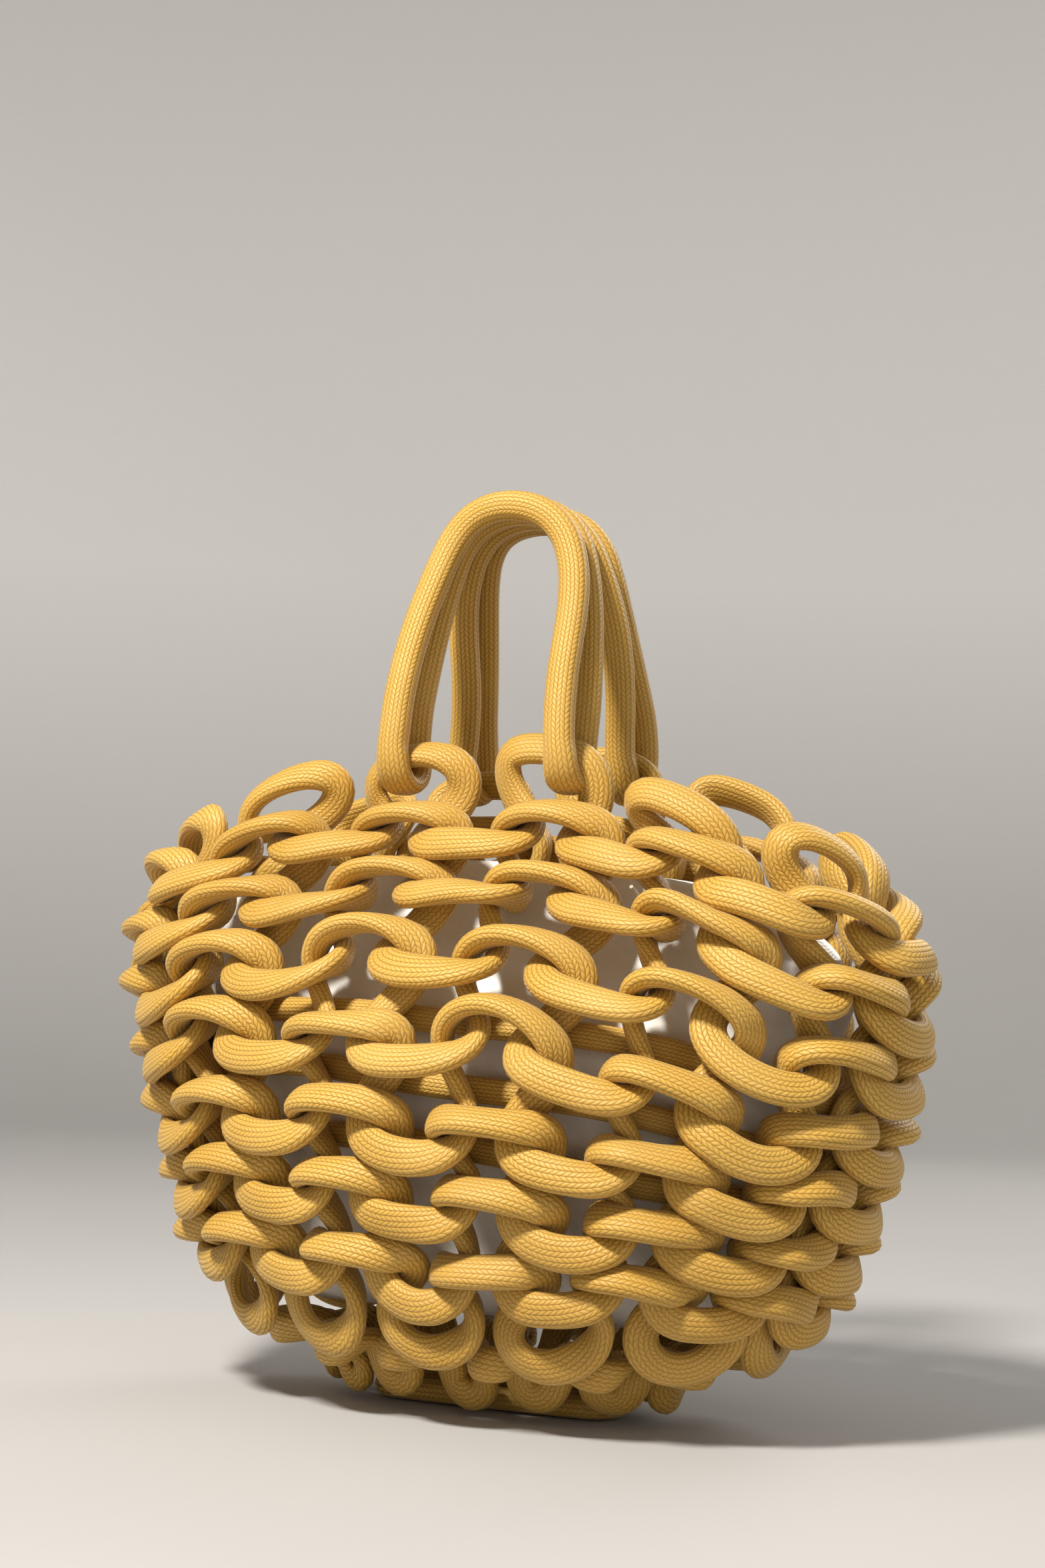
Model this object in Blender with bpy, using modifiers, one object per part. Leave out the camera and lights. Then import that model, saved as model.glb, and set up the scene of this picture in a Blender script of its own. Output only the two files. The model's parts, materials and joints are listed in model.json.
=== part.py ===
"""Knitted cord handbag, in metres, +Z up, standing on the middle of its base.

X runs along the long side of the mouth, the front is towards -Y. The body is knitted in the
round from a thick braided cord: each course is one closed wavy round of cord whose heads hook
into the feet of the course above. Two slings of the same cord hang on the rim as handles, and
a sewn cotton pouch hangs inside.
"""
import math

import bmesh
import bpy
import numpy as np

# --- driving dimensions -------------------------------------------------------------------
CORD = 0.0080               # thickness of the braided cord
WALES = 12                  # loops in one round
COURSES = 7                 # full courses in the wall
LOOP_POINTS = 12            # control points in one loop of a course
FIRST_LOOP = 0.5            # the first loop's head lies this many wales from the front's middle
CORD_SIDES = 1              # bevel resolution: six sides
HOOK = 0.31                 # share of a row by which heads and feet reach past the row
LOOP_DEPTH = 0.0073         # heads and feet stand this far out, legs this far in
LOOP_SWELL = 1.684          # makes a loop wider at its head than at its neck
LOOP_CORNER = -0.023        # rounds the shoulders of a head
LOOP_FLAT = -0.107          # flattens the top of a head and the bottom of a foot
SECTION_POWER = 2.3         # superellipse power of a horizontal section

# Rows where one course hooks into the next, from the middle of the base to the rim: height,
# half width, half depth, share by which the mouth is pinched in, drop of both ends under their
# own weight, slope of the row towards +X
ROWS = (
    (0.0115, 0.072, 0.0270, 0.00, -0.002, 0.000),
    (0.0350, 0.112, 0.0600, 0.00, -0.002, 0.020),
    (0.0625, 0.130, 0.0730, 0.00, 0.005, 0.035),
    (0.0895, 0.138, 0.0810, 0.00, 0.012, 0.050),
    (0.1175, 0.146, 0.0850, 0.00, 0.019, 0.060),
    (0.1465, 0.153, 0.0870, 0.04, 0.025, 0.060),
    (0.1770, 0.160, 0.0840, 0.16, 0.029, 0.050),
    (0.2030, 0.164, 0.0760, 0.31, 0.032, 0.035),
    (0.2275, 0.159, 0.0660, 0.42, 0.034, 0.025),
    (0.2570, 0.147, 0.0570, 0.48, 0.036, 0.015),
)
BASE_ROW = -1               # number of the first row: row 0 is the edge of the base
BASE_HEAD = -0.32           # row at which the base's loops end
BASE_SWELL = 0.5            # the base's loops are plain waves
BASE_DEPTH = 0.0030         # how far their crests stand down
FIRST_FOOT = -0.02          # row of the first course's feet, which stand round the base's loops
BASE_RING_INSET = (0.0175, 0.0150)   # the strand inside the base's loops lies this far in
BASE_RING_POINTS = 24
RIM_ROW = COURSES           # the row that the bind-off hooks into
PINCH_WIDTH = 0.60          # share of the half width over which the mouth is pinched
PINCH_POWER = 4             # how suddenly the pinch ends
DROP_POWER = 2.2            # how suddenly the rows drop towards the ends

RIM_HOOK = 0.29             # the same share at the rim
RIM_DEPTH = 0.0100          # how far heads and feet stand out there
BIND_OFF_RISE = 0.94        # the bind-off's heads stand this many rows above the rim row
BIND_OFF_DEPTH = 0.0012     # how far the bind-off's heads stand out
BIND_OFF_SWELL = 1.85       # the bind-off's loops are wide and low
HANDLE_TURN = 0.20          # a handle hangs this far outward of the top of the loop that holds it
HANDLE_LIFT = 0.0030        # the handles pull those loops up by this much
HANDLE_BEND = 0.0098        # radius of a sling's bend round the loop it hangs on
HANDLE_TOP = 0.3610         # height of the handles' centre line at the top
HANDLE_PITCH = 0.0090       # strands lie side by side at the top at this spacing
BEND_STEPS = 6              # straight steps in that bend

# Half of a sling in front view, from its foot to its top: share of the foot's distance from the
# middle, share of the way up
HANDLE_OUTLINE = ((1.00, 0.06), (0.99, 0.22), (0.965, 0.40), (0.915, 0.58), (0.82, 0.75),
                  (0.64, 0.89), (0.36, 0.975), (0.0, 1.0))

INLAY_ROWS = (2.5, 3.5, 4.5)   # courses behind which a cord is laid in
INLAY_INSET = 0.0170        # its depth behind the middle of the knit
INLAY_POINTS = 36

LINING_CLOTH = 0.0016       # thickness of the lining with its turnings
LINING_INSET = 0.0255       # its depth behind the middle of the knit
LINING_FLOOR = 0.0350       # height of the pouch's bottom
LINING_ROWS = (0.85, 6.85)  # rows between which the pouch's walls follow the knit
LINING_ROUNDS = 8           # rounds of points between those rows
LINING_FALLS = (1.0, 0.97, 0.80, 0.45)   # rounds below them: share of the way to the bottom seam
LINING_COLUMNS = 16         # columns of faces in one panel
LINING_TAPER = 0.22         # share by which its bottom seam is shorter than the wall
SEAM_GAP = 0.0012           # half the gap between the two panels
TACK_WALES = (1, 2, 4, 5, 7, 8, 10, 11)
TACK_ROW = 6.65             # just under the pouch's hem
TACK_DEPTHS = (0.0130, 0.0180, 0.0230)   # a tack runs between these depths
TACK_THREAD = 0.0016        # thickness of a thread tack

ARC_STEPS = 360             # steps used to measure the length round a section
NAME = "knitted_cord_handbag"


# --- the surface that the knit lies on -------------------------------------------------------
def row_value(row, column):
    """One column of ROWS at any row number, on a smooth curve through the rows."""
    numbers = np.arange(len(ROWS)) + float(BASE_ROW)
    values = np.array([entry[column] for entry in ROWS])
    slopes = np.gradient(values)
    row = np.asarray(row, float)
    first = np.clip(np.floor(row).astype(int) - BASE_ROW, 0, len(ROWS) - 2)
    part = row - numbers[first]
    low, high = values[first], values[first + 1]
    rise = high - low
    curve = slopes[first] + slopes[first + 1] - 2 * rise
    return low + part * (slopes[first] + part * (3 * rise - 2 * slopes[first]
                                                 - slopes[first + 1] + part * curve))


def section_point(angle, row):
    """A point on the section at a row."""
    half_width = row_value(row, 1)
    power = 2 / SECTION_POWER
    x = half_width * np.sign(np.cos(angle)) * np.abs(np.cos(angle)) ** power
    y = row_value(row, 2) * np.sign(np.sin(angle)) * np.abs(np.sin(angle)) ** power
    near = np.exp(-(x / (PINCH_WIDTH * half_width)) ** PINCH_POWER)
    return x, y * (1 - row_value(row, 3) * near)


def length_table(row):
    """Share of the way round a section at each angle, from the front's middle towards +X."""
    angle = np.linspace(-math.pi / 2, 3 * math.pi / 2, ARC_STEPS + 1)
    x, y = section_point(angle, np.full(angle.shape, float(row)))
    length = np.concatenate([[0], np.cumsum(np.hypot(np.diff(x), np.diff(y)))])
    return length / length[-1], angle


TABLES = [length_table(BASE_ROW + index) for index in range(len(ROWS))]


def skin(wale, row):
    """Point on the middle surface of the knit; wale counts round from the front's middle."""
    wale = np.asarray(wale, float)
    row = np.asarray(row, float) + np.zeros_like(wale)
    share = (wale / WALES) % 1.0
    first = np.clip(np.floor(row).astype(int) - BASE_ROW, 0, len(ROWS) - 2)
    part = row - BASE_ROW - first
    angle = np.empty_like(share)
    for index in range(len(ROWS) - 1):
        here = first == index
        low = np.interp(share[here], *TABLES[index])
        high = np.interp(share[here], *TABLES[index + 1])
        angle[here] = low + (high - low) * part[here]
    x, y = section_point(angle, row)
    drop = row_value(row, 4) * np.abs(x / row_value(row, 1)) ** DROP_POWER
    drop = drop + row_value(row, 5) * x
    return np.stack([x, y, row_value(row, 0) - drop], axis=-1)


def outward(wale, row):
    """Unit normal of that surface, pointing out of the bag."""
    step = 0.02
    along = skin(wale + step, row) - skin(wale - step, row)
    up = skin(wale, row + step) - skin(wale, row - step)
    normal = np.cross(along, up)
    return normal / np.linalg.norm(normal, axis=-1, keepdims=True)


# --- routes of the cords ---------------------------------------------------------------------
def loop_point(turn, foot, head, foot_depth, head_depth, swell=LOOP_SWELL):
    """Centre line of a round of loops between two row numbers: feet below, heads above, legs
    inside. Each loop takes one turn, which is 0 at a head and half a circle at a foot.
    """
    lean = swell * np.sin(2 * turn) + LOOP_CORNER * np.sin(4 * turn)
    wale = FIRST_LOOP + (turn + lean) / (2 * math.pi)
    climb = (np.cos(turn) + LOOP_FLAT * np.cos(3 * turn)) / (1 + LOOP_FLAT)
    row = (foot + head) / 2 + (head - foot) / 2 * climb
    upper = (1 + np.cos(turn)) / 2
    crest = foot_depth + (head_depth - foot_depth) * upper
    depth = np.where(np.cos(2 * turn) > 0, crest, LOOP_DEPTH) * np.cos(2 * turn)
    return skin(wale, row) + outward(wale, row) * depth[:, None]


def round_turns():
    """The turns of all the control points of one round."""
    return np.arange(WALES * LOOP_POINTS) * 2 * math.pi / LOOP_POINTS


def course_route(number):
    """Centre line of a course of the wall, counted from 1 at the base."""
    foot = number - 1 - HOOK
    head = number + HOOK
    head_depth = LOOP_DEPTH
    if number == 1:
        foot = FIRST_FOOT
    if number == COURSES:
        head = number + RIM_HOOK
        head_depth = RIM_DEPTH
    return loop_point(round_turns(), foot, head, LOOP_DEPTH, head_depth)


def base_route():
    """Centre line of the round of loops that closes the base."""
    return loop_point(round_turns(), BASE_ROW, BASE_HEAD, BASE_DEPTH, BASE_DEPTH, BASE_SWELL)


def bind_off_point(turn):
    """Centre line of the last round, whose heads stand free and carry the handles."""
    points = loop_point(turn, RIM_ROW - RIM_HOOK, RIM_ROW + BIND_OFF_RISE, RIM_DEPTH,
                        BIND_OFF_DEPTH, BIND_OFF_SWELL)
    loop = np.round(turn / (2 * math.pi)) % (WALES / 2)
    carries = np.isin(loop, (0, WALES / 2 - 1))
    points[:, 2] += np.where(carries, HANDLE_LIFT * np.clip(np.cos(turn), 0, 1), 0)
    return points


def handle_foot():
    """Where the front right end of a handle hangs: on the first loop, off its top."""
    return bind_off_point(np.array([HANDLE_TURN]))[0]


def handle_route(side):
    """Centre line of one sling: two strands joined by a bend round the rim at each end."""
    foot_x, foot_y, foot_z = handle_foot()
    foot_y = abs(foot_y)
    rise = HANDLE_TOP - foot_z
    outer = [(foot_x * wide, rise * high) for wide, high in HANDLE_OUTLINE]
    outer += [(-x, z) for x, z in reversed(outer[:-1])]
    bend = [math.pi * step / BEND_STEPS for step in range(BEND_STEPS + 1)]
    points = []
    for strand, order in ((1.5, 1), (0.5, -1)):
        for x, z in outer[::order]:
            share = min(1.0, max(0.0, z / rise))
            ease = share * share * (3 - 2 * share)
            low = foot_y + (HANDLE_BEND if strand > 1 else -HANDLE_BEND)
            points.append((x, low + (HANDLE_PITCH * strand - low) * ease, foot_z + z))
        end = -foot_x if order > 0 else foot_x
        for angle in bend:
            lie = angle if order > 0 else math.pi - angle
            points.append((end, foot_y + HANDLE_BEND * math.cos(lie),
                           foot_z - HANDLE_BEND * math.sin(lie)))
    route = np.array(points)
    route[:, 1] *= side
    return route


def inlay_route(row):
    """A plain round behind the knit at one row number."""
    wale = np.arange(INLAY_POINTS) * WALES / INLAY_POINTS
    return skin(wale, row) - outward(wale, row) * INLAY_INSET


def base_ring_route():
    """The strand that the knitting starts from, a long flat ring that rests on the floor."""
    half_width = ROWS[0][1] - BASE_RING_INSET[0]
    half_depth = ROWS[0][2] - BASE_RING_INSET[1]
    angle = 2 * math.pi * np.arange(BASE_RING_POINTS) / BASE_RING_POINTS
    shift = (half_width - half_depth) * np.sign(np.round(np.cos(angle), 3))
    lift = CORD / 2 * math.cos(math.pi / 6)
    return np.stack([shift + half_depth * np.cos(angle), half_depth * np.sin(angle),
                     np.full(BASE_RING_POINTS, lift)], axis=-1)


# --- making objects --------------------------------------------------------------------------
def clear_scene():
    for old in list(bpy.data.objects):
        bpy.data.objects.remove(old, do_unlink=True)


def make_material(name, colour, roughness, sheen=0.0):
    """A plain Principled material."""
    material = bpy.data.materials.new(name)
    material.use_nodes = True
    shader = material.node_tree.nodes["Principled BSDF"]
    shader.inputs["Base Color"].default_value = (*colour, 1.0)
    shader.inputs["Roughness"].default_value = roughness
    shader.inputs["Metallic"].default_value = 0.0
    shader.inputs["Sheen Weight"].default_value = sheen
    return material


def cord_material(name):
    return make_material(name, (0.66, 0.38, 0.085), 0.55, 0.2)


def cloth_material(name):
    return make_material(name, (0.82, 0.78, 0.70), 0.9, 0.3)


def thread_material(name):
    return make_material(name, (0.80, 0.74, 0.62), 0.8)


def add_cord(name, route, collection, origin=(0, 0, 0), cyclic=True, thickness=CORD,
             material=None):
    """A tube of cord along a route of points."""
    curve = bpy.data.curves.new(name, "CURVE")
    curve.dimensions = "3D"
    curve.bevel_depth = thickness / 2
    curve.bevel_resolution = CORD_SIDES
    curve.use_fill_caps = not cyclic
    curve.twist_mode = "MINIMUM"
    spline = curve.splines.new("POLY")
    spline.points.add(len(route) - 1)
    for point, place in zip(spline.points, route):
        point.co = (place[0] - origin[0], place[1] - origin[1], place[2] - origin[2], 1)
    spline.use_cyclic_u = cyclic
    piece = bpy.data.objects.new(name, curve)
    piece.location = origin
    curve.materials.append(material or cord_material(name + "_cord"))
    collection.objects.link(piece)
    return piece


def lining_ring(wale, row, fall):
    """A round of the pouch behind the knit; fall drops it towards the pouch's bottom seam."""
    points = skin(wale, row) - outward(wale, row) * LINING_INSET
    spread = math.sqrt(1 - fall * fall)
    points[:, 0] *= 1 - LINING_TAPER * (1 - spread)
    points[:, 1] *= spread
    points[:, 2] = LINING_FLOOR + (points[:, 2] - LINING_FLOOR) * (1 - fall)
    return points


def add_panel(name, side, collection):
    """Half of the pouch, front or back: an open sheet with Solidify."""
    rounds = [(LINING_ROWS[0], fall) for fall in LINING_FALLS]
    rounds += [(row, 0.0) for row in np.linspace(*LINING_ROWS, LINING_ROUNDS)]
    middle = 0 if side < 0 else WALES / 2
    wale = np.linspace(middle - WALES / 4, middle + WALES / 4, LINING_COLUMNS + 1)
    mesh = bpy.data.meshes.new(name)
    work = bmesh.new()
    grid = []
    for row, fall in rounds:
        ring = lining_ring(wale, row, fall)
        ring[:, 1] = side * (np.abs(ring[:, 1]) + SEAM_GAP)
        grid.append([work.verts.new(place) for place in ring])
    for lower, upper in zip(grid, grid[1:]):
        for index in range(LINING_COLUMNS):
            work.faces.new((lower[index], lower[index + 1], upper[index + 1], upper[index]))
    work.to_mesh(mesh)
    work.free()
    panel = bpy.data.objects.new(name, mesh)
    mesh.materials.append(cloth_material(name + "_cloth"))
    shell = panel.modifiers.new("cloth", "SOLIDIFY")
    shell.thickness = LINING_CLOTH
    shell.offset = -1
    mesh.shade_smooth()
    collection.objects.link(panel)
    return panel


def add_tack(name, wale, collection):
    """A short bar of thread that ties the hem of the pouch to the knit."""
    middle = skin(np.array([wale]), TACK_ROW)[0]
    normal = outward(np.array([wale]), TACK_ROW)[0]
    route = [middle - normal * depth for depth in TACK_DEPTHS]
    return add_cord(name, route, collection, cyclic=False, thickness=TACK_THREAD,
                    material=thread_material(name + "_thread"))


def build():
    clear_scene()
    collection = bpy.data.collections.new(NAME)
    bpy.context.scene.collection.children.link(collection)

    routes = {"base_course": base_route()}
    for number in range(1, COURSES + 1):
        routes["course_%d" % number] = course_route(number)
    routes["bind_off"] = bind_off_point(round_turns())
    for number, row in enumerate(INLAY_ROWS, 1):
        routes["inlay_%d" % number] = inlay_route(row)
    routes["base_ring"] = base_ring_route()
    for name, route in routes.items():
        add_cord(name, route, collection)

    foot = handle_foot()
    for name, side in (("handle_front", -1), ("handle_back", 1)):
        origin = (0.0, side * abs(foot[1]), foot[2])
        add_cord(name, handle_route(side), collection, origin=origin)

    add_panel("lining_front", -1, collection)
    add_panel("lining_back", 1, collection)
    for number, wale in enumerate(TACK_WALES, 1):
        add_tack("tack_%d" % number, wale, collection)


build()
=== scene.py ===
"""Looks of the knitted cord handbag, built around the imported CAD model."""
import json
import math

import bpy
import numpy as np
from mathutils import Matrix, Vector
from mathutils.kdtree import KDTree


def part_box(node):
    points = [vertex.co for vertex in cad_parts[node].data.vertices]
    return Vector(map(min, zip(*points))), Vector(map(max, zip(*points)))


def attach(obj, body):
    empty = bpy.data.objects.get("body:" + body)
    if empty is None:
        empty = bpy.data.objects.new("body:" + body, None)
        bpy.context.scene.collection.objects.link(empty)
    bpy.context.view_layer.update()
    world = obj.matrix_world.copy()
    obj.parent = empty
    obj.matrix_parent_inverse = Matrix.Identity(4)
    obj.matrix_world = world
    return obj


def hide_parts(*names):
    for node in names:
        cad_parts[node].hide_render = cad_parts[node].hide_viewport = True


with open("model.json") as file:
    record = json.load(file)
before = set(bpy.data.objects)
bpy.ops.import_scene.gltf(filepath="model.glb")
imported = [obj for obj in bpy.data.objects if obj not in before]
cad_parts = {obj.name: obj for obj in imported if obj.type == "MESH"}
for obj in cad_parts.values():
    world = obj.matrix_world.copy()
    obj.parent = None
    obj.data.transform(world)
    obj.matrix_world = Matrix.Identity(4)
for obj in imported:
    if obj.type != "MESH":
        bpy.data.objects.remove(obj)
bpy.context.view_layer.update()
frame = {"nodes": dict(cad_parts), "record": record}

# --- sizes, in metres ---------------------------------------------------------------------
CORD_WIDTH = 0.0138         # the knitted cord is flat
CORD_THICK = 0.0080
HANDLE_WIDTH = 0.0122
HANDLE_THICK = 0.0108
INLAY_WIDTH = 0.0100
INLAY_THICK = 0.0082
WALES = 12
COURSES = 7
FIRST_LOOP = 0.5            # the first loop's head lies this many wales from the front's middle
LOOP_POINTS = 44            # points in one loop while the knit settles
RING_SIDES = 36             # points round the finished cord
RING_STEP = 0.0023          # distance between its rings
CURVE_PARTS = 8             # parts into which each stretch of a route is cut before that
BRAID_COLUMNS = 18          # columns of stitches round the cord
STITCH = 0.0022             # length of one stitch
TWIST = math.radians(80)    # how far the flat cord turns its face up along a loop
TWIST_PHASE = math.pi / 3   # the face looks up most this far before a head

HOOK = 0.31                 # share of a row by which heads and feet reach past the row
RIM_HOOK = 0.29             # the same share at the rim
LOOP_DEPTH = 0.0073         # heads and feet stand this far out, legs this far in
LOOP_SWELL = 1.42           # makes a loop wider at its head than at its neck
LOOP_CORNER = -0.023
LOOP_FLAT = 0.02
SECTION_POWER = 2.3

# Rows where one course hooks into the next: height, half width, half depth, share by which the
# mouth is pinched in, drop of both ends, slope of the row towards +X
ROWS = (
    (0.0115, 0.072, 0.0270, 0.00, -0.002, 0.000),
    (0.0350, 0.112, 0.0600, 0.00, -0.002, 0.020),
    (0.0625, 0.130, 0.0730, 0.00, 0.005, 0.035),
    (0.0895, 0.138, 0.0810, 0.00, 0.012, 0.050),
    (0.1175, 0.146, 0.0850, 0.00, 0.019, 0.060),
    (0.1465, 0.153, 0.0870, 0.04, 0.025, 0.060),
    (0.1770, 0.160, 0.0840, 0.16, 0.029, 0.050),
    (0.2030, 0.164, 0.0760, 0.31, 0.032, 0.035),
    (0.2275, 0.159, 0.0660, 0.42, 0.034, 0.025),
    (0.2570, 0.147, 0.0570, 0.48, 0.036, 0.015),
)
BASE_ROW = -1
BASE_HEAD = -0.32           # row at which the base's loops end
BASE_SWELL = 0.5            # the base's loops are plain waves
BASE_DEPTH = 0.0030         # how far their crests stand down
FIRST_FOOT = -0.02          # row of the first course's feet
RIM_DEPTH = 0.0100          # how far heads and feet stand out at the rim
PINCH_WIDTH = 0.60
PINCH_POWER = 4
DROP_POWER = 2.2
ARC_STEPS = 360

BIND_OFF_RISE = 0.94        # the bind-off's heads stand this many rows above the rim row
BIND_OFF_SWELL = 1.25
HANDLE_LIFT = 0.0030        # the handles pull the loops that hold them up by this much
HANDLE_BEND = 0.0100
HANDLE_PITCH = 0.0118
# Half of a handle, as shares of its half width and of its height
HANDLE_OUTLINE = ((1.00, 0.05), (0.995, 0.13), (0.99, 0.22), (0.975, 0.32), (0.955, 0.43),
                  (0.925, 0.54), (0.875, 0.65), (0.80, 0.76), (0.69, 0.86), (0.53, 0.935),
                  (0.33, 0.98), (0.11, 1.0))
INLAY_ROWS = (2.5, 3.5, 4.5)
INLAY_INSET = 0.0172
LINING_INSET = 0.0256
LINING_COLUMNS = 150
LINING_LINES = 110
LINING_ROWS = (0.80, 6.95)  # the pouch's wall runs between these rows
LINING_FLOOR = 0.16         # share of a panel that lies on the bottom
CLOTH_THICK = 0.0009
SEED = 7

# --- studio -------------------------------------------------------------------------------
WALL_REACH = 2.3            # the round studio wall stands this far from the bag
WALL_CURVE = 0.7            # radius of the curve between floor and wall
WALL_TOP = 2.2
WALL_SIDES = 96
LENS = 56.5                 # millimetres, on a sensor 36 mm high
CAMERA_AZIMUTH = math.radians(25)
CAMERA_DISTANCE = 1.0
CAMERA_ACROSS = 0.0014      # the camera stands this far to the right of the bag's middle
CAMERA_HEIGHT = 0.174
CAMERA_PITCH = math.radians(4.3)
CAMERA_ROLL = math.radians(1.8)
WORLD_STRENGTH = 0.10

rng = np.random.default_rng(SEED)


# --- the surface that the knit lies on ----------------------------------------------------
def row_value(row, column):
    """One column of ROWS at any row number, on a smooth curve through the rows."""
    values = np.array([entry[column] for entry in ROWS])
    slopes = np.gradient(values)
    row = np.asarray(row, float)
    first = np.clip(np.floor(row).astype(int) - BASE_ROW, 0, len(ROWS) - 2)
    part = row - BASE_ROW - first
    low = values[first]
    rise = values[first + 1] - low
    curve = slopes[first] + slopes[first + 1] - 2 * rise
    bend = 3 * rise - 2 * slopes[first] - slopes[first + 1]
    return low + part * (slopes[first] + part * (bend + part * curve))


def section_point(angle, row):
    half_width = row_value(row, 1)
    power = 2 / SECTION_POWER
    x = half_width * np.sign(np.cos(angle)) * np.abs(np.cos(angle)) ** power
    y = row_value(row, 2) * np.sign(np.sin(angle)) * np.abs(np.sin(angle)) ** power
    near = np.exp(-(x / (PINCH_WIDTH * half_width)) ** PINCH_POWER)
    return x, y * (1 - row_value(row, 3) * near)


def length_table(row):
    angle = np.linspace(-math.pi / 2, 3 * math.pi / 2, ARC_STEPS + 1)
    x, y = section_point(angle, np.full(angle.shape, float(row)))
    length = np.concatenate([[0], np.cumsum(np.hypot(np.diff(x), np.diff(y)))])
    return length / length[-1], angle


TABLES = [length_table(BASE_ROW + index) for index in range(len(ROWS))]


def skin(wale, row):
    """Point on the middle surface of the knit; wale counts round from the front's middle."""
    wale = np.asarray(wale, float)
    row = np.asarray(row, float) + np.zeros_like(wale)
    share = (wale / WALES) % 1.0
    first = np.clip(np.floor(row).astype(int) - BASE_ROW, 0, len(ROWS) - 2)
    part = row - BASE_ROW - first
    angle = np.empty_like(share)
    for index in range(len(ROWS) - 1):
        here = first == index
        low = np.interp(share[here], *TABLES[index])
        high = np.interp(share[here], *TABLES[index + 1])
        angle[here] = low + (high - low) * part[here]
    x, y = section_point(angle, row)
    drop = row_value(row, 4) * np.abs(x / row_value(row, 1)) ** DROP_POWER
    drop = drop + row_value(row, 5) * x
    return np.stack([x, y, row_value(row, 0) - drop], axis=-1)


def unit(vectors):
    return vectors / np.maximum(np.linalg.norm(vectors, axis=-1, keepdims=True), 1e-12)


def outward(wale, row):
    step = 0.02
    along = skin(wale + step, row) - skin(wale - step, row)
    up = skin(wale, row + step) - skin(wale, row - step)
    return unit(np.cross(along, up))


# --- the knit -----------------------------------------------------------------------------
def ring_noise(count, spread, terms=5):
    """Smooth seeded noise round a closed ring of values."""
    turn = np.arange(count) * 2 * math.pi / count
    total = np.zeros(count)
    for term in range(1, terms + 1):
        total += rng.normal() * np.cos(term * turn) + rng.normal() * np.sin(term * turn)
    return spread * total / math.sqrt(terms)


def loop_round(foot, head, foot_depth, head_depth, swell, twist=TWIST):
    """One round of loops with the irregularities of hand knitting: the points, the way the
    surface faces, the turn of each point and how far the cord's face looks up there.
    """
    count = WALES * LOOP_POINTS
    turn = np.arange(count) * 2 * math.pi / LOOP_POINTS
    head_of = np.round(turn / (2 * math.pi)).astype(int) % WALES
    foot_of = np.floor(turn / (2 * math.pi)).astype(int) % WALES
    upper = (1 + np.cos(turn)) / 2
    swells = swell * (1 + rng.normal(0, 0.095, WALES))
    reach = rng.normal(0, 0.115, WALES)
    dip = rng.normal(0, 0.115, WALES)
    shift = rng.normal(0, 0.060, WALES)
    lean = (swells[head_of] * upper + swells[foot_of] * (1 - upper)) * np.sin(2 * turn)
    lean = lean + LOOP_CORNER * np.sin(4 * turn)
    wale = FIRST_LOOP + (turn + lean) / (2 * math.pi) + shift[head_of] * upper ** 2
    climb = (np.cos(turn) + LOOP_FLAT * np.cos(3 * turn)) / (1 + LOOP_FLAT)
    row = (foot + head) / 2 + (head - foot) / 2 * climb
    row = row + reach[head_of] * upper ** 3 + dip[foot_of] * (1 - upper) ** 3
    row = np.clip(row + ring_noise(count, 0.055), BASE_ROW, COURSES + 1.0)
    crest = foot_depth + (head_depth - foot_depth) * upper
    depth = np.where(np.cos(2 * turn) > 0, crest, LOOP_DEPTH) * np.cos(2 * turn)
    normal = outward(wale, row)
    twists = -twist * (1 + np.cos(turn + TWIST_PHASE)) / 2 + ring_noise(count, 0.12, 30)
    return skin(wale, row) + normal * depth[:, None], normal, turn, twists


def knit_rounds():
    """Starting routes of every round, from the base to the bind-off."""
    rounds = {"base_course": loop_round(BASE_ROW, BASE_HEAD, BASE_DEPTH, BASE_DEPTH, BASE_SWELL)}
    for number in range(1, COURSES + 1):
        foot = FIRST_FOOT if number == 1 else number - 1 - HOOK
        at_rim = number == COURSES
        rounds["course_%d" % number] = loop_round(foot, number + (RIM_HOOK if at_rim else HOOK), LOOP_DEPTH,
                                                  RIM_DEPTH if at_rim else LOOP_DEPTH, LOOP_SWELL)
    points, normal, turn, twist = loop_round(COURSES - RIM_HOOK, COURSES + BIND_OFF_RISE,
                                             RIM_DEPTH, 0.0012, BIND_OFF_SWELL, TWIST * 0.5)
    loop = np.round(turn / (2 * math.pi)) % (WALES / 2)
    carries = np.isin(loop, (0, WALES / 2 - 1))
    points[:, 2] += np.where(carries, HANDLE_LIFT * np.clip(np.cos(turn), 0, 1), 0)
    rounds["bind_off"] = (points, normal, turn, twist)
    return rounds


def near_pairs(places, cord_of, spot, counts, reach, skip):
    """Pairs of points of different stretches of cord that are close enough to touch."""
    tree = KDTree(len(places))
    for index, place in enumerate(places):
        tree.insert(place, index)
    tree.balance()
    first, second = [], []
    for index, place in enumerate(places):
        for _, other, _ in tree.find_range(place, reach):
            if other <= index:
                continue
            if cord_of[other] == cord_of[index]:
                apart = abs(int(spot[other]) - int(spot[index]))
                if min(apart, int(counts[cord_of[index]]) - apart) < skip:
                    continue
            first.append(index)
            second.append(other)
    return np.array(first), np.array(second)


def cord_axes(tangent, normal, twist):
    """The way the flat face of a cord looks, and the way its edge points."""
    flat = unit(normal - (normal * tangent).sum(axis=1, keepdims=True) * tangent)
    side = np.cross(tangent, flat)
    turned, along = np.sin(twist)[:, None], np.cos(twist)[:, None]
    return flat * along + side * turned, side * along - flat * turned


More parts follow.
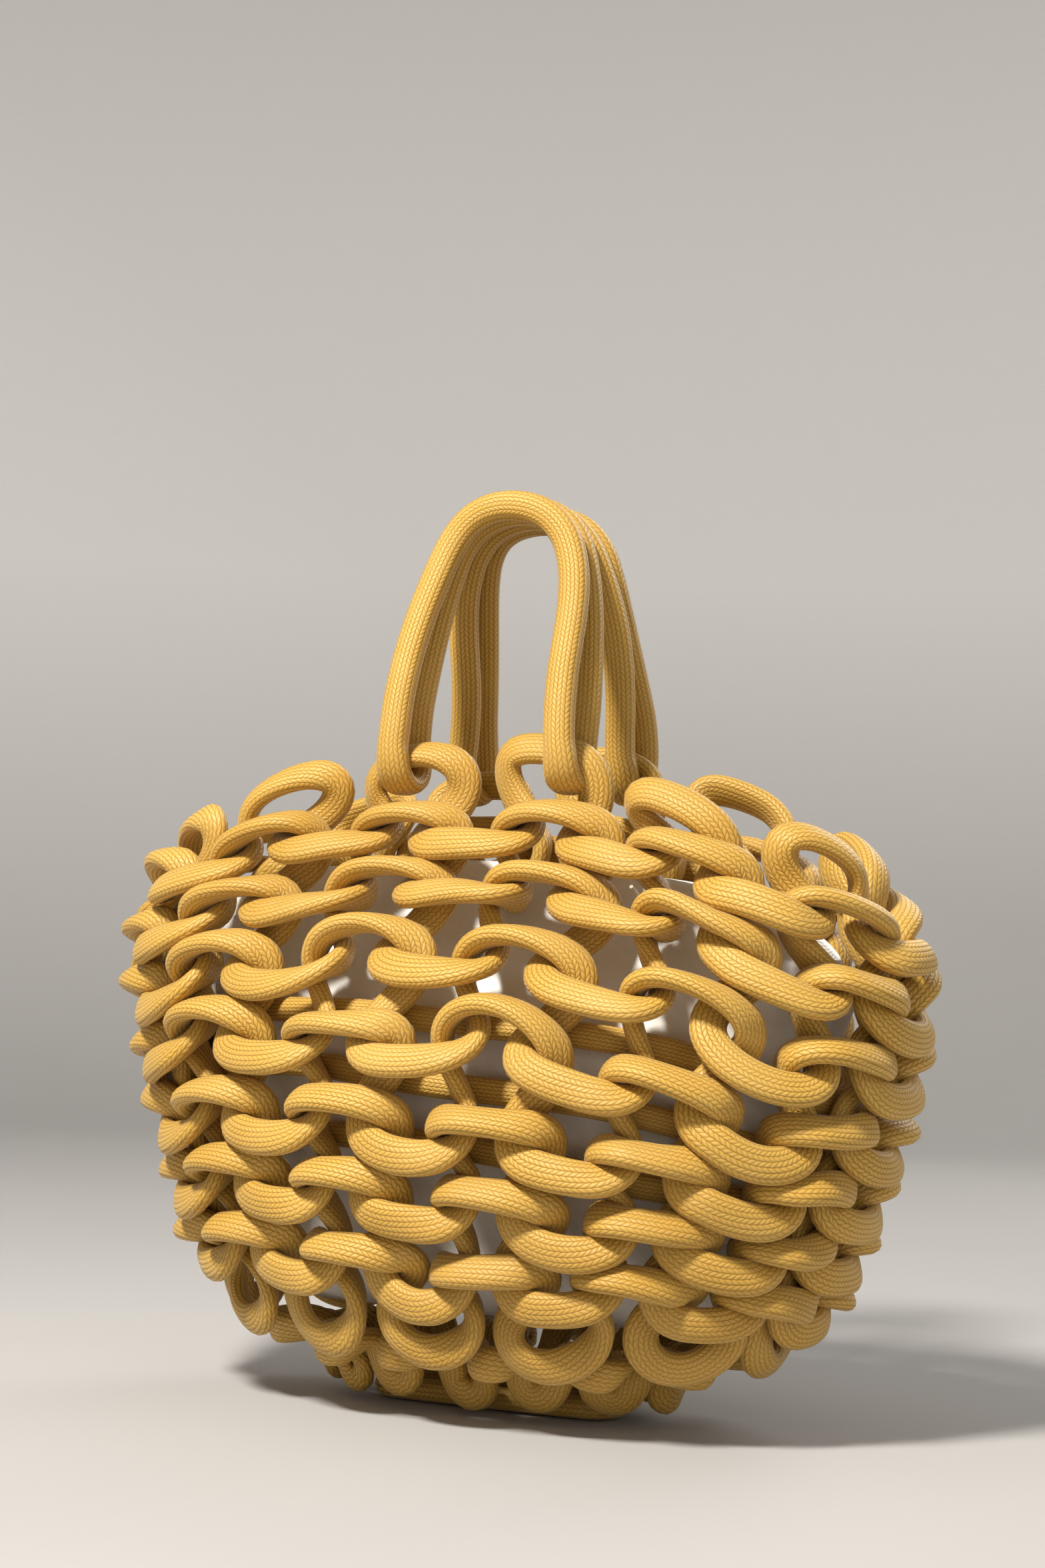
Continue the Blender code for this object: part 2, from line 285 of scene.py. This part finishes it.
def settle(rounds, steps):
    """Lets the rounds push each other apart until flat cords only touch."""
    names = list(rounds)
    counts = np.array([len(rounds[name][0]) for name in names])
    starts = np.concatenate([[0], np.cumsum(counts)])
    places, normals, _, twist = [np.concatenate([rounds[name][part] for name in names])
                                 for part in range(4)]
    home = places.copy()
    cord_of = np.repeat(np.arange(len(names)), counts)
    spot = np.concatenate([np.arange(count) for count in counts])
    before = np.concatenate([low + np.roll(np.arange(n), 1) for low, n in zip(starts, counts)])
    after = np.concatenate([low + np.roll(np.arange(n), -1) for low, n in zip(starts, counts)])
    rest = np.linalg.norm(places[after] - places, axis=1)
    for low, high in zip(starts, starts[1:]):
        rest[low:high] = 0.55 * rest[low:high] + 0.45 * rest[low:high].mean()
    rest *= 0.97
    for step in range(steps):
        if step % 12 == 0:
            one, two = near_pairs(places, cord_of, spot, counts, CORD_WIDTH * 1.12, 9)
        for _ in range(3):
            bow = (places[before] + places[after]) / 2 - places
            places += 0.20 * (bow - (bow[before] + bow[after]) / 2)
        for _ in range(3):
            link = places[after] - places
            length = np.linalg.norm(link, axis=1, keepdims=True)
            pull = 0.25 * link * (1 - rest[:, None] / length)
            places += pull
            places -= pull[before]
        look, edge = cord_axes(unit(places[after] - places[before]), normals, twist)
        gap = places[one] - places[two]
        far = np.linalg.norm(gap, axis=1)
        line = gap / far[:, None]
        reach = 0
        for end in (one, two):
            wide = (line * edge[end]).sum(axis=1) * CORD_WIDTH / 2
            deep = (line * look[end]).sum(axis=1) * CORD_THICK / 2
            reach = reach + np.hypot(wide, deep)
        need = np.clip(reach - far, 0, 0.0024)
        push = (0.5 * need)[:, None] * line
        moved = np.zeros_like(places)
        touches = np.zeros(len(places))
        np.add.at(moved, one, push)
        np.add.at(moved, two, -push)
        np.add.at(touches, one, need > 0)
        np.add.at(touches, two, need > 0)
        places += 1.3 * moved / np.maximum(touches, 1)[:, None] ** 0.6
        places += 0.010 * (home - places)
    print("settled, deepest overlap %.1f mm, mean %.2f mm" % (1000 * need.max(), 1000 * need.mean()))
    return {name: (places[starts[i]:starts[i + 1]], normals[starts[i]:starts[i + 1]])
            for i, name in enumerate(names)}


# --- sweeping a braided cord ----------------------------------------------------------------
def resample(points, extra, step):
    """Even points on a smooth closed curve, with other values carried along."""
    ahead = np.concatenate([points[-2:], points, points[:3]])
    side = np.concatenate([extra[-2:], extra, extra[:3]])
    t = (np.arange(CURVE_PARTS) / CURVE_PARTS)[:, None]
    curve, values = [], []
    for index in range(len(points)):
        a, b, c, d = ahead[index + 1:index + 5]
        curve.append(0.5 * (2 * b + (c - a) * t + (2 * a - 5 * b + 4 * c - d) * t ** 2
                            + (3 * b - a - 3 * c + d) * t ** 3))
        values.append(side[index + 2] + (side[index + 3] - side[index + 2]) * t)
    curve = np.concatenate(curve)
    values = np.concatenate(values)
    curve = np.concatenate([curve, curve[:1]])
    values = np.concatenate([values, values[:1]])
    length = np.concatenate([[0], np.cumsum(np.linalg.norm(np.diff(curve, axis=0), axis=1))])
    rings = max(8, int(round(length[-1] / step)))
    at = np.linspace(0, length[-1], rings + 1)
    even = np.stack([np.interp(at, length, column) for column in curve.T], axis=1)
    carried = np.stack([np.interp(at, length, column) for column in values.T], axis=1)
    return even[:-1], carried[:-1], length[-1]


def smooth_round(values, reach):
    """Values round a closed cord, averaged over about reach points to each side."""
    around = np.arange(-3 * reach, 3 * reach + 1)
    weight = np.exp(-0.5 * (around / reach) ** 2)
    weight /= weight.sum()
    return np.convolve(np.pad(values, 3 * reach, mode="wrap"), weight, mode="valid")


def untwisted_frame(tangent):
    """Two directions across a closed cord that turn with it but never spin round it."""
    first = np.empty_like(tangent)
    start = np.cross(tangent[0], (0.31, 0.52, 0.79))
    first[0] = start / np.linalg.norm(start)
    for index in range(1, len(tangent)):
        across = first[index - 1] - first[index - 1].dot(tangent[index]) * tangent[index]
        first[index] = across / np.linalg.norm(across)
    second = np.cross(tangent, first)
    last = first[-1] - first[-1].dot(tangent[0]) * tangent[0]
    miss = math.atan2(last.dot(second[0]), last.dot(first[0]))
    spin = (-miss * np.arange(len(tangent)) / len(tangent))[:, None]
    return (first * np.cos(spin) + second * np.sin(spin),
            second * np.cos(spin) - first * np.sin(spin))


def steady_look(look, tangent):
    """The wanted look of the flat face, turned without sudden spins."""
    first, second = untwisted_frame(tangent)
    wanted = (look * first).sum(axis=1) + 1j * (look * second).sum(axis=1)
    wanted = smooth_round(wanted.real, 2) + 1j * smooth_round(wanted.imag, 2)
    angle = np.unwrap(np.angle(wanted))
    rounds = np.round((angle[-1] - angle[0]) / (2 * math.pi))
    drift = 2 * math.pi * rounds * np.arange(len(angle)) / len(angle)
    angle = smooth_round(angle - drift, 3) + drift
    return first * np.cos(angle)[:, None] + second * np.sin(angle)[:, None]


def section_shape():
    """Cross-section of the cord with its columns standing slightly proud."""
    fine = np.linspace(0, 2 * math.pi, 721)
    power = 0.86
    x = np.sign(np.cos(fine)) * np.abs(np.cos(fine)) ** power / 2
    y = np.sign(np.sin(fine)) * np.abs(np.sin(fine)) ** power / 2
    step = np.hypot(np.diff(x) * CORD_WIDTH, np.diff(y) * CORD_THICK)
    length = np.concatenate([[0], np.cumsum(step)])
    share = np.arange(RING_SIDES) / RING_SIDES
    at = share * length[-1]
    return np.interp(at, length, x), np.interp(at, length, y), share


def sweep(name, points, facing, width, thick, tilt=None):
    """A flat braided cord along a closed route; facing is the way its flat side looks."""
    size = np.stack([np.broadcast_to(width, len(points)), np.broadcast_to(thick, len(points)),
                     np.zeros(len(points)) if tilt is None else tilt], axis=1)
    path, carried, total = resample(points, np.concatenate([facing, size], axis=1), RING_STEP)
    tangent = unit(np.roll(path, -1, axis=0) - np.roll(path, 1, axis=0))
    look = steady_look(carried[:, :3], tangent)
    side = np.cross(tangent, look)
    turned = carried[:, 5][:, None]
    look, side = (look * np.cos(turned) + side * np.sin(turned),
                  side * np.cos(turned) - look * np.sin(turned))
    x, y, share = section_shape()
    rings = len(path)
    ripple = 1 + 0.012 * np.cos(2 * math.pi * share * BRAID_COLUMNS)
    across = (carried[:, 3][:, None] * x * ripple)[:, :, None]
    deep = (carried[:, 4][:, None] * y * ripple)[:, :, None]
    verts = path[:, None] + side[:, None] * across + look[:, None] * deep
    verts = verts.reshape(-1, 3)
    stitches = round(total / STITCH)
    ring = np.arange(rings)
    spoke = np.arange(RING_SIDES)
    a = (ring[:, None] * RING_SIDES + spoke).ravel()
    b = (ring[:, None] * RING_SIDES + (spoke + 1) % RING_SIDES).ravel()
    c = (((ring + 1) % rings)[:, None] * RING_SIDES + (spoke + 1) % RING_SIDES).ravel()
    d = (((ring + 1) % rings)[:, None] * RING_SIDES + spoke).ravel()
    faces = np.stack([a, d, c, b], axis=1)
    u_low = np.broadcast_to(spoke / RING_SIDES, (rings, RING_SIDES)).ravel()
    u_high = u_low + 1 / RING_SIDES
    v_low = np.repeat(ring / rings * stitches, RING_SIDES)
    v_high = np.repeat((ring + 1) / rings * stitches, RING_SIDES)
    corner = np.stack([np.stack([u_low, v_low], 1), np.stack([u_low, v_high], 1),
                       np.stack([u_high, v_high], 1), np.stack([u_high, v_low], 1)], axis=1)
    return make_mesh(name, verts, faces, corner.reshape(-1, 2)), total


def make_mesh(name, verts, faces, uv=None):
    mesh = bpy.data.meshes.new(name)
    mesh.vertices.add(len(verts))
    mesh.vertices.foreach_set("co", np.asarray(verts, np.float32).ravel())
    sides = faces.shape[1]
    mesh.loops.add(faces.size)
    mesh.loops.foreach_set("vertex_index", faces.astype(np.int32).ravel())
    mesh.polygons.add(len(faces))
    mesh.polygons.foreach_set("loop_start", np.arange(len(faces), dtype=np.int32) * sides)
    if uv is not None:
        layer = mesh.uv_layers.new(name="Cord")
        layer.data.foreach_set("uv", np.asarray(uv, np.float32).ravel())
    mesh.update(calc_edges=True)
    mesh.validate()
    mesh.shade_smooth()
    piece = bpy.data.objects.new(name, mesh)
    bpy.context.scene.collection.objects.link(piece)
    return piece


# --- node helpers -----------------------------------------------------------------------------
class Nodes:
    """Short ways to add and link shader nodes."""

    def __init__(self, name):
        self.material = bpy.data.materials.new(name)
        self.material.use_nodes = True
        self.tree = self.material.node_tree
        self.shader = self.tree.nodes["Principled BSDF"]

    def add(self, kind, **values):
        node = self.tree.nodes.new(kind)
        for key, value in values.items():
            setattr(node, key, value)
        return node

    def join(self, value, socket):
        if hasattr(value, "is_output"):
            self.tree.links.new(value, socket)
        else:
            socket.default_value = value

    def math(self, operation, one, two=0.0, three=0.0, clamp=False):
        node = self.add("ShaderNodeMath", operation=operation, use_clamp=clamp)
        for socket, value in zip(node.inputs, (one, two, three)):
            self.join(value, socket)
        return node.outputs[0]

    def noise(self, vector, scale, detail=2.0, rough=0.5):
        node = self.add("ShaderNodeTexNoise")
        self.join(vector, node.inputs["Vector"])
        node.inputs["Scale"].default_value = scale
        node.inputs["Detail"].default_value = detail
        node.inputs["Roughness"].default_value = rough
        return node.outputs["Fac"]

    def mix(self, factor, one, two, blend="MIX"):
        node = self.add("ShaderNodeMix", data_type="RGBA", blend_type=blend)
        self.join(factor, node.inputs[0])
        self.join(one, node.inputs[6])
        self.join(two, node.inputs[7])
        return node.outputs[2]

    def remap(self, value, low, high, to_low=0.0, to_high=1.0):
        node = self.add("ShaderNodeMapRange")
        for socket, item in zip(node.inputs, (value, low, high, to_low, to_high)):
            self.join(item, socket)
        return node.outputs[0]

    def bump(self, height, strength, distance, normal=None):
        node = self.add("ShaderNodeBump")
        node.inputs["Strength"].default_value = strength
        node.inputs["Distance"].default_value = distance
        self.join(height, node.inputs["Height"])
        if normal is not None:
            self.join(normal, node.inputs["Normal"])
        return node.outputs[0]


def cord_material(name):
    """Waxed cotton braid: slanted stitches in columns, alternately left and right, with painted shade in
    the grooves and a painted highlight on the stitch crests.
    """
    n = Nodes(name)
    uv = n.add("ShaderNodeUVMap", uv_map="Cord")
    split = n.add("ShaderNodeSeparateXYZ")
    n.join(uv.outputs[0], split.inputs[0])
    place = n.add("ShaderNodeTexCoord").outputs["Object"]
    column = n.math("MULTIPLY", split.outputs[0], float(BRAID_COLUMNS))
    inside = n.math("FRACT", column)
    index = n.math("FLOOR", column)
    parity = n.math("MODULO", index, 2.0)
    lean = n.math("MULTIPLY_ADD", parity, 2.0, -1.0)
    wobble = n.math("MULTIPLY", n.noise(place, 260.0, 1.0), 0.35)
    phase = n.math("MULTIPLY_ADD", lean, n.math("MULTIPLY", inside, 0.85), split.outputs[1])
    phase = n.math("ADD", phase, wobble)
    phase = n.math("ADD", phase, n.math("MULTIPLY", parity, 0.5))
    along = n.math("FRACT", phase)
    ridge = n.math("SINE", n.math("MULTIPLY", inside, math.pi))
    stitch = n.math("SINE", n.math("MULTIPLY", along, math.pi))
    ridge = n.math("POWER", n.math("ABSOLUTE", ridge), 0.45)
    stitch = n.math("POWER", n.math("ABSOLUTE", stitch), 0.55)
    height = n.math("MULTIPLY", ridge, n.math("MULTIPLY_ADD", stitch, 0.72, 0.28))
    fibre_at = n.add("ShaderNodeCombineXYZ")
    n.join(n.math("MULTIPLY", split.outputs[0], 9.0), fibre_at.inputs[0])
    n.join(n.math("MULTIPLY_ADD", phase, 0.8, 0.0), fibre_at.inputs[1])
    fibre = n.noise(fibre_at.outputs[0], 9.0, 3.0, 0.65)
    patch = n.noise(place, 28.0, 3.0, 0.55)
    broad = n.noise(place, 9.0, 2.0, 0.5)
    wax = n.noise(place, 900.0, 2.0, 0.6)
    # Painted shade: the groove colour darkens the low grooves between the stitches.
    groove_shade = (0.22, 0.102, 0.010, 1)
    body = (0.555, 0.312, 0.030, 1)
    # Painted highlight: the top colour lightens the stitch crests.
    top = (0.74, 0.515, 0.185, 1)
    base = n.mix(n.remap(height, 0.10, 0.62), groove_shade, body)
    # Painted highlight on the stitch crests, streaked by the fibre noise.
    crest_highlight = n.math("MULTIPLY", n.remap(height, 0.55, 1.0), n.remap(fibre, 0.35, 0.75))
    base = n.mix(crest_highlight, base, top)
    worn = n.remap(patch, 0.42, 0.68, 0.0, 0.32)
    base = n.mix(worn, base, (0.64, 0.415, 0.115, 1))
    deep = n.remap(broad, 0.38, 0.62, 0.0, 0.34)
    base = n.mix(deep, base, (0.40, 0.205, 0.020, 1))
    n.join(base, n.shader.inputs["Base Color"])
    shine = n.math("MULTIPLY_ADD", wax, 0.22, n.remap(height, 0.2, 1.0, 0.56, 0.30))
    n.join(shine, n.shader.inputs["Roughness"])
    n.shader.inputs["Specular IOR Level"].default_value = 0.50
    n.shader.inputs["Sheen Weight"].default_value = 0.22
    n.shader.inputs["Sheen Roughness"].default_value = 0.42
    n.shader.inputs["Sheen Tint"].default_value = (1.0, 0.86, 0.55, 1)
    relief = n.math("ADD", height, n.math("MULTIPLY", fibre, 0.30))
    n.join(n.bump(relief, 0.65, 0.00050), n.shader.inputs["Normal"])
    return n.material


def lining_material(name):
    """Cotton twill: fine diagonal ribs, soft and matt."""
    n = Nodes(name)
    place = n.add("ShaderNodeTexCoord").outputs["Object"]
    split = n.add("ShaderNodeSeparateXYZ")
    n.join(place, split.inputs[0])
    slant = n.math("ADD", split.outputs[0], split.outputs[1])
    slant = n.math("ADD", slant, n.math("MULTIPLY", split.outputs[2], 1.25))
    rib = n.math("SINE", n.math("MULTIPLY", slant, 5600.0))
    rib = n.math("MULTIPLY_ADD", rib, 0.5, 0.5)
    across = n.math("SUBTRACT", split.outputs[0], split.outputs[2])
    thread = n.math("SINE", n.math("MULTIPLY", across, 9000.0))
    height = n.math("MULTIPLY_ADD", thread, 0.15, rib)
    broad = n.noise(place, 14.0, 3.0, 0.5)
    # Painted shade: the valleys between the twill ribs are coloured slightly darker than the rib tops.
    base = n.mix(n.remap(rib, 0.0, 1.0, 0.0, 0.30), (0.80, 0.77, 0.72, 1), (0.93, 0.91, 0.88, 1))
    base = n.mix(n.remap(broad, 0.35, 0.70, 0.0, 0.35), base, (0.88, 0.85, 0.79, 1))
    n.join(base, n.shader.inputs["Base Color"])
    n.shader.inputs["Roughness"].default_value = 0.88
    n.shader.inputs["Specular IOR Level"].default_value = 0.25
    n.shader.inputs["Sheen Weight"].default_value = 0.35
    n.shader.inputs["Sheen Roughness"].default_value = 0.5
    n.join(n.bump(height, 0.45, 0.0002), n.shader.inputs["Normal"])
    return n.material


def thread_material(name):
    n = Nodes(name)
    place = n.add("ShaderNodeTexCoord").outputs["Object"]
    twist = n.noise(place, 1800.0, 2.0)
    base = n.mix(twist, (0.62, 0.56, 0.46, 1), (0.86, 0.80, 0.68, 1))
    n.join(base, n.shader.inputs["Base Color"])
    n.shader.inputs["Roughness"].default_value = 0.75
    n.join(n.bump(twist, 0.5, 0.0002), n.shader.inputs["Normal"])
    return n.material


# --- pieces -----------------------------------------------------------------------------------
def finish_piece(piece, material, body, slot, *nodes):
    piece.data.materials.append(material)
    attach(piece, body)
    if nodes:
        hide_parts(*nodes)


def build_knit(cord):
    rounds = knit_rounds()
    settled = settle(rounds, 240)
    for name, (points, normal) in settled.items():
        count = len(points)
        width = CORD_WIDTH * (1 + ring_noise(count, 0.02, 30))
        thick = CORD_THICK * (1 + ring_noise(count, 0.02, 30))
        piece, length = sweep(name + "_cord", points, normal, width, thick, tilt=rounds[name][3])
        finish_piece(piece, cord, "bag", "cord", name)
        print("cord", name, "length %.3f m" % length)


def build_inlays(cord):
    for number, row in enumerate(INLAY_ROWS, 1):
        count = 72
        wale = np.arange(count) * WALES / count
        rows = row + ring_noise(count, 0.05, 6)
        normal = outward(wale, rows)
        depth = INLAY_INSET + ring_noise(count, 0.0010, 8)
        points = skin(wale, rows) - normal * depth[:, None]
        name = "inlay_%d" % number
        piece, length = sweep(name + "_cord", points, normal, INLAY_WIDTH, INLAY_THICK)
        finish_piece(piece, cord, "bag", "cord", name)
        print("cord", name, "length %.3f m" % length)


def build_base_ring(cord):
    low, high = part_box("base_ring")
    half_depth = (high[1] - low[1]) / 2 - 0.0060
    half_width = (high[0] - low[0]) / 2 - 0.0050
    points, normal = [], []
    for step in range(28):
        angle = 2 * math.pi * step / 28
        swell = half_width - half_depth
        shift = swell * max(-1.0, min(1.0, 2.2 * math.cos(angle)))
        points.append((shift + half_depth * math.cos(angle) ** 3 * 0.6,
                       half_depth * math.sin(angle), 0.0046))
        normal.append((0, 0, -1))
    piece, length = sweep("base_ring_cord", np.array(points), np.array(normal, float), 0.0112, 0.0088)
    finish_piece(piece, cord, "bag", "cord", "base_ring")
    print("cord base_ring length %.3f m" % length)


def handle_route(joint, side, top):
    """Centre line of one sling and the way its flat side looks."""
    foot_y, foot_z = abs(joint[1]), joint[2]
    foot_x = (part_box("handle_front")[1][0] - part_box("handle_front")[0][0]) / 2 - 0.0042
    rise = top - foot_z
    outer = [(foot_x * a, rise * b) for a, b in HANDLE_OUTLINE]
    outer += [(-x, z) for x, z in reversed(outer)]
    bend = [math.pi * step / 6 for step in range(7)]
    points, facing = [], []
    for strand, order in ((1.5, 1), (0.5, -1)):
        wander = ring_noise(len(outer), 0.0009, 3)
        for (x, z), off in zip(outer[::order], wander):
            share = min(1.0, max(0.0, z / rise))
            ease = share * share * (3 - 2 * share)
            low = foot_y + (HANDLE_BEND if strand > 1 else -HANDLE_BEND)
            slack = 0.0022 if strand < 1 else 0.0
            points.append((x * (1 - slack * 12 * share * (1 - share)) + off,
                           low + (HANDLE_PITCH * strand - low) * ease, foot_z + z))
            facing.append((0.0, 1.0 if strand > 1 else -1.0, 0.0))
        end = -foot_x if order > 0 else foot_x
        for angle in bend:
            lie = angle if order > 0 else math.pi - angle
            points.append((end, foot_y + HANDLE_BEND * math.cos(lie),
                           foot_z - HANDLE_BEND * math.sin(lie)))
            facing.append((0.0, math.cos(lie), -math.sin(lie)))
    route = np.array(points)
    looks = np.array(facing)
    route[:, 1] *= side
    looks[:, 1] *= side
    return route, looks


def build_handles(cord):
    joints = {joint["name"]: joint for joint in frame["record"]["behaviour"]["joints"]}
    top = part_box("handle_front")[1][2] - 0.0046
    for side, word in ((-1, "front"), (1, "back")):
        joint = joints[word + "_handle_swing"]["pos_m"]
        route, looks = handle_route(joint, side, top)
        below = np.clip((joint[2] + 0.004 - route[:, 2]) / 0.012, 0, 1)
        width = HANDLE_WIDTH + 0.0030 * below
        thick = HANDLE_THICK - 0.0024 * below
        piece, length = sweep("handle_%s_cord" % word, route, looks, width, thick)
        finish_piece(piece, cord, word + "_handle", "cord", "handle_" + word)
        print("cord handle", word, "length %.3f m" % length)


def build_lining(cloth):
    """Two panels of the pouch, puffed out between the strands and creased."""
    columns, lines = LINING_COLUMNS, LINING_LINES
    low_row, high_row = LINING_ROWS
    for side, word in ((-1, "front"), (1, "back")):
        middle = 0 if side < 0 else WALES / 2
        across = np.linspace(-WALES / 4, WALES / 4, columns + 1) + middle
        up = np.linspace(0, 1, lines + 1)
        wale, height = np.meshgrid(across, up)
        wall = np.clip((height - LINING_FLOOR) / (1 - LINING_FLOOR), 0, 1)
        row = low_row + wall * (high_row - low_row)
        normal = outward(wale.ravel(), row.ravel()).reshape(*wale.shape, 3)
        puff = np.zeros_like(wale)
        for _ in range(26):
            a, b = rng.uniform(2, 16), rng.uniform(1, 9)
            phase = rng.uniform(0, 2 * math.pi)
            puff += rng.normal() * np.sin(a * wale * 0.45 + b * row * 0.55 + phase) / 26 ** 0.5
        crease = np.abs(np.sin(2.1 * wale + 0.9 * row + 1.3 * np.sin(1.7 * row)))
        edge = np.clip((1 - height) / 0.12, 0.30, 1) * np.clip(height / 0.2, 0, 1)
        hem = np.clip((row - 5.2) / 1.2, 0, 1) - 0.45 * (height > 0.945)
        inset = LINING_INSET - 0.0024 * hem - edge * (0.0007 * puff + 0.0022 * crease)
        points = skin(wale.ravel(), row.ravel()).reshape(*wale.shape, 3) - normal * inset[:, :, None]
        fall = np.clip(1 - height / LINING_FLOOR, 0, 1)[:, :, None]
        spread = np.sqrt(np.clip(1 - fall ** 2, 0, 1))
        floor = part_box("lining_front")[0][2] + 0.0006
        points[:, :, 0:1] *= 1 - 0.22 * (1 - spread)
        points[:, :, 1:2] *= spread
        points[:, :, 2:3] = floor + (points[:, :, 2:3] - floor) * (1 - fall)
        points[:, :, 1] = side * (np.abs(points[:, :, 1]) + 0.0003)
        width = columns + 1
        index = np.arange(lines)[:, None] * width + np.arange(columns)
        index = index.ravel()
        faces = np.stack([index, index + 1, index + 1 + width, index + width], axis=1)
        piece = make_mesh("lining_%s_cloth" % word, points.reshape(-1, 3), faces)
        shell = piece.modifiers.new("cloth", "SOLIDIFY")
        shell.thickness = CLOTH_THICK
        shell.offset = -1
        finish_piece(piece, cloth, "bag", "lining", "lining_" + word)


# --- camera, light and floor -------------------------------------------------------------------
def build_stage():
    """A floor that curves up into a pale wall all round."""
    pale = Nodes("pale_floor")
    place = pale.add("ShaderNodeTexCoord").outputs["Object"]
    split = pale.add("ShaderNodeSeparateXYZ")
    pale.join(place, split.inputs[0])
    floor = pale.mix(pale.noise(place, 3.0), (0.42, 0.41, 0.40, 1), (0.46, 0.45, 0.44, 1))
    wall = pale.remap(split.outputs[2], 0.0, WALL_CURVE)
    pale.join(pale.mix(wall, floor, (0.84, 0.83, 0.82, 1)), pale.shader.inputs["Base Color"])
    pale.shader.inputs["Roughness"].default_value = 0.9
    turns = np.linspace(0, math.pi / 2, 13)
    reach = np.concatenate([[0.01, 0.6], WALL_REACH - WALL_CURVE * (1 - np.sin(turns)), [WALL_REACH]])
    height = np.concatenate([[0, 0], WALL_CURVE * (1 - np.cos(turns)), [WALL_TOP]]) - 0.0004
    around = np.linspace(0, 2 * math.pi, WALL_SIDES, endpoint=False)
    verts = np.stack([np.outer(reach, np.cos(around)), np.outer(reach, np.sin(around)),
                      np.outer(height, np.ones(WALL_SIDES))], axis=-1).reshape(-1, 3)
    ring = np.arange(len(reach) - 1)[:, None] * WALL_SIDES
    spoke = np.arange(WALL_SIDES)
    ahead = (spoke + 1) % WALL_SIDES
    faces = np.stack([(ring + spoke).ravel(), (ring + WALL_SIDES + spoke).ravel(),
                      (ring + WALL_SIDES + ahead).ravel(), (ring + ahead).ravel()], axis=1)
    middle = list(range(WALL_SIDES))
    piece = make_mesh("floor", verts, faces)
    centre = make_mesh("floor_centre", verts[middle], np.array([middle]))
    for part in (piece, centre):
        part.data.materials.append(pale.material)


def add_area(name, place, target, size, power, colour):
    light = bpy.data.lights.new(name, "AREA")
    light.shape = "RECTANGLE"
    light.size = size[0]
    light.size_y = size[1]
    light.energy = power
    light.color = colour
    piece = bpy.data.objects.new(name, light)
    piece.location = place
    aim = Vector(target) - Vector(place)
    piece.rotation_euler = aim.to_track_quat("-Z", "Y").to_euler()
    bpy.context.scene.collection.objects.link(piece)


def build_light():
    middle = (0.0, 0.0, 0.16)
    add_area("key", (-0.20, -1.05, 1.42), middle, (0.24, 0.24), 46, (1.0, 0.96, 0.90))
    add_area("fill", (1.3, -1.0, 0.75), middle, (1.0, 1.0), 2.5, (1.0, 0.98, 0.95))
    add_area("back", (0.35, 1.35, 1.10), middle, (0.8, 0.8), 9, (1.0, 0.98, 0.95))
    add_area("top", (0.1, 0.1, 1.8), middle, (1.2, 1.2), 3, (1.0, 0.97, 0.93))
    world = bpy.data.worlds.new("world")
    world.use_nodes = True
    world.node_tree.nodes["Background"].inputs[0].default_value = (0.90, 0.89, 0.87, 1)
    world.node_tree.nodes["Background"].inputs[1].default_value = WORLD_STRENGTH
    bpy.context.scene.world = world


def build_camera():
    """A metre away, level with the middle of the bag, tilted slightly up."""
    camera = bpy.data.cameras.new("camera")
    camera.sensor_fit = "VERTICAL"
    camera.sensor_height = 36.0
    camera.lens = LENS
    piece = bpy.data.objects.new("camera", camera)
    away, right = math.sin(CAMERA_AZIMUTH), math.cos(CAMERA_AZIMUTH)
    piece.location = (away * CAMERA_DISTANCE + right * CAMERA_ACROSS,
                      -right * CAMERA_DISTANCE + away * CAMERA_ACROSS, CAMERA_HEIGHT)
    turn = Matrix.Rotation(CAMERA_AZIMUTH, 4, "Z")
    turn = turn @ Matrix.Rotation(math.pi / 2 + CAMERA_PITCH, 4, "X")
    piece.rotation_euler = (turn @ Matrix.Rotation(CAMERA_ROLL, 4, "Z")).to_euler()
    bpy.context.scene.collection.objects.link(piece)
    bpy.context.scene.camera = piece


def finish_tacks(thread):
    for name, piece in frame["nodes"].items():
        if name.startswith("tack"):
            piece.data.materials.clear()
            piece.data.materials.append(thread)


bpy.context.scene.view_settings.view_transform = "Standard"
build_camera()
cord = cord_material("waxed_cord")
build_knit(cord)
build_inlays(cord)
build_base_ring(cord)
build_handles(cord)
build_lining(lining_material("cotton_twill"))
finish_tacks(thread_material("cotton_thread"))
build_stage()
build_light()
